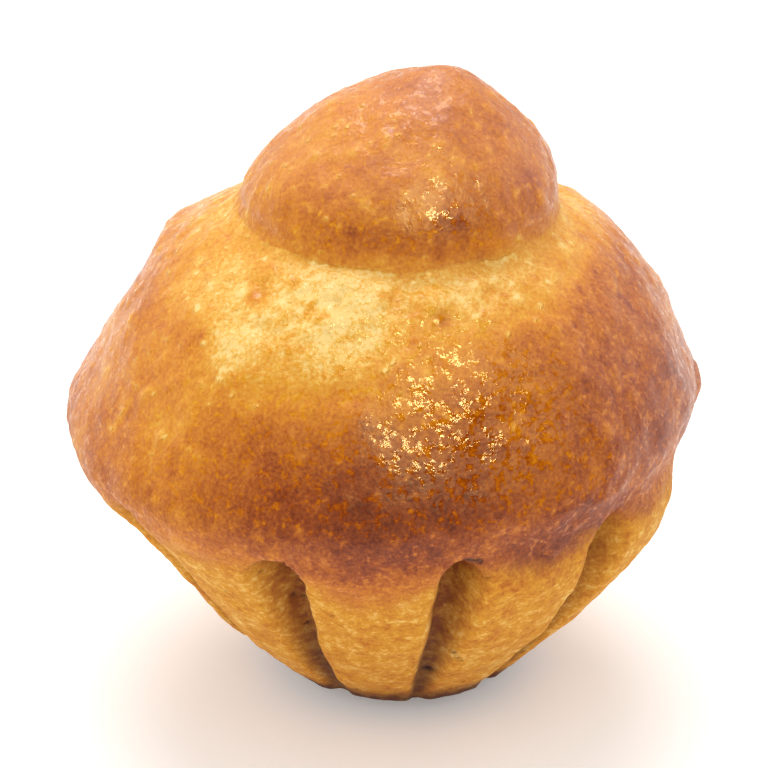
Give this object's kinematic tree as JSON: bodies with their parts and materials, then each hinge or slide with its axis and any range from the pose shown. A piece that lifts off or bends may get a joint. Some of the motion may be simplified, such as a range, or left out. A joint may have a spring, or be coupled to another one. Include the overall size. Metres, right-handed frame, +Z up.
{
  "type": "brioche",
  "caption": "Small round brioche with a head: a fluted foot that flares to a domed, glazed crown, and a round knob of dough sunk in its top.",
  "frame": {"origin": "centre of the flat foot that it stands on", "axes": "+Z up, through the head; -Y is the side that shows in the picture; +X to that side's right"},
  "size_m": [0.0896, 0.0872, 0.0902],
  "materials": {
    "crust": "egg-washed baked crust: deep orange brown on the crown and head, golden yellow round the crease and on the fluted wall, glossy on top and dull where the tin touched it"
  },
  "bodies": {
    "root": {"brioche": "crust"}
  },
  "joints": []
}
